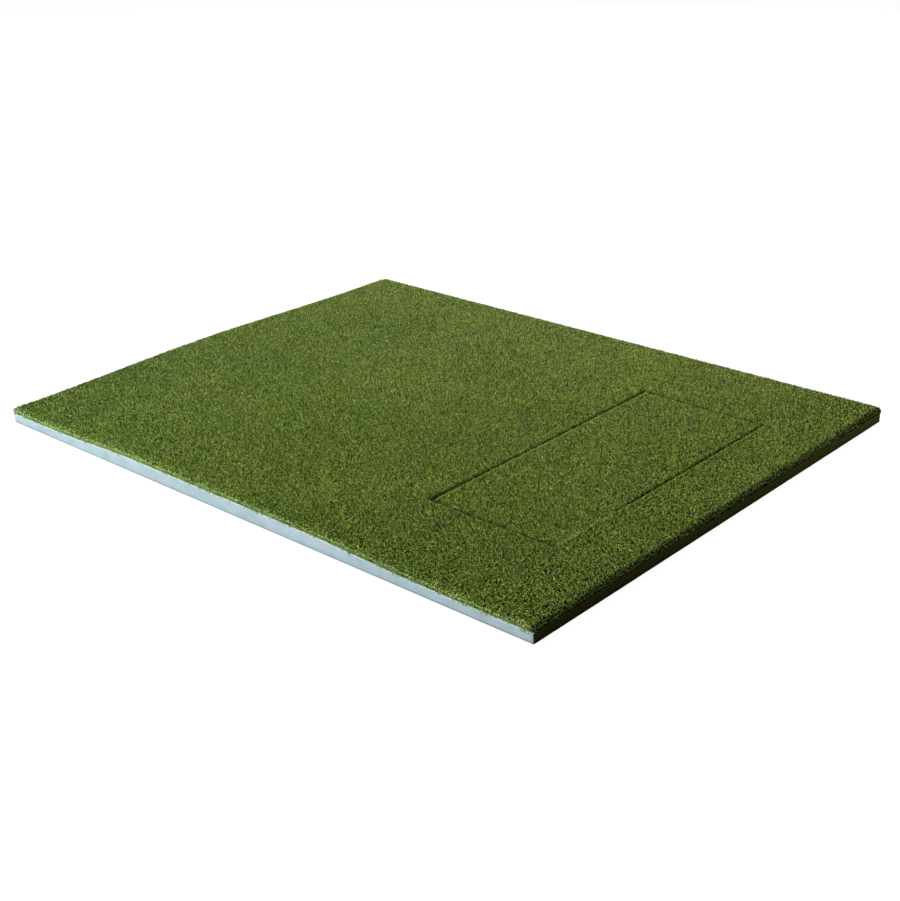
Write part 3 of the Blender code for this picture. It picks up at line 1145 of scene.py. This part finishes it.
def strip_opening(x, y):
    """Lean and height loss of the strip's strands, which lean out at the left and over the shut slit."""
    by_left = np.clip(1.0 - (x - STRIP_X + STRIP_HALF_X) / LIP_LEAN_ZONE, 0.0, 1.0)
    by_right = np.clip(1.0 - (STRIP_X + STRIP_HALF_X - x) / SHUT_ZONE, 0.0, 1.0) * (1.0 - open_share(y))
    lean = -SHUT_GAP * SHUT_LEAN * by_right - LIP_LEAN * by_left
    return np.stack([lean, np.zeros(np.shape(x))], 1), np.zeros(np.shape(x))


def make_strip(rng, materials):
    """The exchangeable strip: its foam, backing and turf."""
    flat = (no_lift, no_lift)
    foam = layer(
        "strip_foam_pad", "strip_foam", "strip", "foam", materials["foam"], STRIP_GRID, FOAM_LEVELS,
        foam_wall, (STRIP_LOW.z, STRIP_HIGH.z), flat,
    )
    backing = layer(
        "strip_backing_cloth", "strip_backing", "strip", "backing", materials["backing"],
        STRIP_BACKING_GRID, CLOTH_LEVELS, strip_backing_wall, (STRIP_HIGH.z + TOUCH, BACKING_HIGH.z), flat,
    )
    roots = layer(
        "strip_pile_roots", "strip_pile", "strip", "turf", materials["roots"], STRIP_GRID, CLOTH_LEVELS,
        root_wall, (PILE_LOW.z, ROOTS_TOP), flat,
    )
    low = (STRIP_LOW.x + STRIP_INSET[0], STRIP_LOW.y + STRIP_INSET[1])
    high = (STRIP_HIGH.x - STRIP_INSET[0], STRIP_HIGH.y - STRIP_INSET[1])
    field = field_strands(rng, low, high, strip_opening, no_lift)
    rim = side_strands(rng, low, high, no_lift, **STRIP_RIM)
    lips = [
        lip_strands(rng, lambda y: np.full(y.size, x), low[1] + LIP_START, end, way, lean, no_lift)
        for x, end, way, lean in ((low[0], high[1], -1, LIP_LEAN), (high[0], SHUT_BELOW_Y, 1, -SHUT_GAP))
    ]
    strands = held_in_strip(joined([field, rim, *lips]))
    row = tile_number(strands["root"][:, 1], STRIP_HALF_Y, STRIP_TILES)
    for i in range(STRIP_TILES):
        tile = chosen(strands, row == i)
        pile_piece(f"strip_pile_{i}", tile, materials["strands"], "strip", "strip_pile")


def dress_tapes(materials):
    """Better finishes for the hook-and-loop tapes, whose CAD shapes stay."""
    for side in ("left", "right", "near", "far"):
        for prefix, finish in (("pocket_loop", "loop"), ("strip_hook", "hook")):
            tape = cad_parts[f"{prefix}_{side}"]
            tape.data.materials.clear()
            tape.data.materials.append(materials[finish])


# ---- studio


def add_camera():
    """The camera, at the mat's near corner."""
    heading, tilt, roll = (math.radians(a) for a in (CAMERA_HEADING, CAMERA_TILT, CAMERA_ROLL))
    ahead = Vector((-math.sin(heading) * math.cos(tilt), math.cos(heading) * math.cos(tilt), -math.sin(tilt)))
    level = Vector((math.cos(heading), math.sin(heading), 0.0))
    upright = level.cross(ahead)
    right = level * math.cos(roll) + upright * math.sin(roll)
    up = upright * math.cos(roll) - level * math.sin(roll)
    turn = Matrix((right, up, -ahead)).transposed()
    data = bpy.data.cameras.new("camera")
    data.sensor_fit = "HORIZONTAL"
    data.sensor_width = 36.0
    data.lens = 60.72
    data.clip_end = 60.0
    camera = bpy.data.objects.new("camera", data)
    camera.matrix_world = Matrix.Translation(CAMERA_PLACE) @ turn.to_4x4()
    bpy.context.scene.collection.objects.link(camera)
    bpy.context.scene.camera = camera


def add_lights():
    """Square soft lights that the camera doesn't see."""
    for name, (place, target, size, power, colour) in LIGHTS.items():
        data = bpy.data.lights.new(name, "AREA")
        data.shape = "SQUARE"
        data.size = size
        data.energy = power
        data.color = colour
        light = bpy.data.objects.new(name, data)
        light.location = place
        light.rotation_mode = "QUATERNION"
        light.rotation_quaternion = (Vector(target) - Vector(place)).to_track_quat("-Z", "Y")
        light.visible_camera = False
        bpy.context.scene.collection.objects.link(light)


def plain_shader(tree, kind, colour, strength=None):
    """A shader of one colour, as its output."""
    node = tree.nodes.new("ShaderNode" + kind)
    node.inputs["Color"].default_value = (*colour, 1.0)
    if strength is not None:
        node.inputs["Strength"].default_value = strength
    return node.outputs[0]


def show_camera(tree, seen, unseen, output):
    """Give an output node one shader for what the camera sees, and another for all other light."""
    rays = tree.nodes.new("ShaderNodeLightPath")
    mix = tree.nodes.new("ShaderNodeMixShader")
    tree.links.new(rays.outputs["Is Camera Ray"], mix.inputs[0])
    tree.links.new(unseen, mix.inputs[1])
    tree.links.new(seen, mix.inputs[2])
    tree.links.new(mix.outputs[0], tree.nodes.new("ShaderNodeOutput" + output).inputs["Surface"])


def add_floor():
    """A wide pale floor."""
    material = bpy.data.materials.new("floor")
    material.use_nodes = True
    tree = material.node_tree
    tree.nodes.clear()
    both = tree.nodes.new("ShaderNodeAddShader")
    tree.links.new(plain_shader(tree, "BsdfDiffuse", FLOOR_SEEN), both.inputs[0])
    tree.links.new(plain_shader(tree, "Emission", WHITE, FLOOR_GLOW), both.inputs[1])
    dim = plain_shader(tree, "BsdfDiffuse", FLOOR_UNSEEN)
    show_camera(tree, both.outputs[0], dim, "Material")
    mesh = bpy.data.meshes.new("floor")
    ways = ((-1, -1), (1, -1), (1, 1), (-1, 1))
    corners = [(x * FLOOR_REACH, y * FLOOR_REACH, -0.0005) for x, y in ways]
    mesh.from_pydata(corners, [], [(0, 1, 2, 3)])
    mesh.materials.append(material)
    floor = bpy.data.objects.new("floor", mesh)
    bpy.context.scene.collection.objects.link(floor)


def add_world():
    """A pale surround."""
    world = bpy.data.worlds.new("studio")
    bpy.context.scene.world = world
    world.use_nodes = True
    tree = world.node_tree
    tree.nodes.clear()
    pale = plain_shader(tree, "Background", WHITE)
    dim = plain_shader(tree, "Background", WORLD_UNSEEN)
    show_camera(tree, pale, dim, "World")


def main():
    """Everything, in order."""
    rng = np.random.default_rng(SEED)
    materials = {
        "strands": strand_material(),
        "roots": root_material(),
        "foam": foam_material(),
        "backing": backing_material(),
        "sheet": sheet_material(),
        "loop": tape_material("loop_tape", 1100.0, (0.012, 0.012, 0.013), (0.050, 0.052, 0.056), 0.9),
        "hook": tape_material("hook_tape", 650.0, (0.014, 0.014, 0.016), (0.075, 0.078, 0.085), 0.55),
    }
    add_camera()
    make_mat(rng, materials)
    make_strip(rng, materials)
    dress_tapes(materials)
    add_lights()
    add_floor()
    add_world()
    bpy.context.scene.view_settings.view_transform = "Standard"


main()
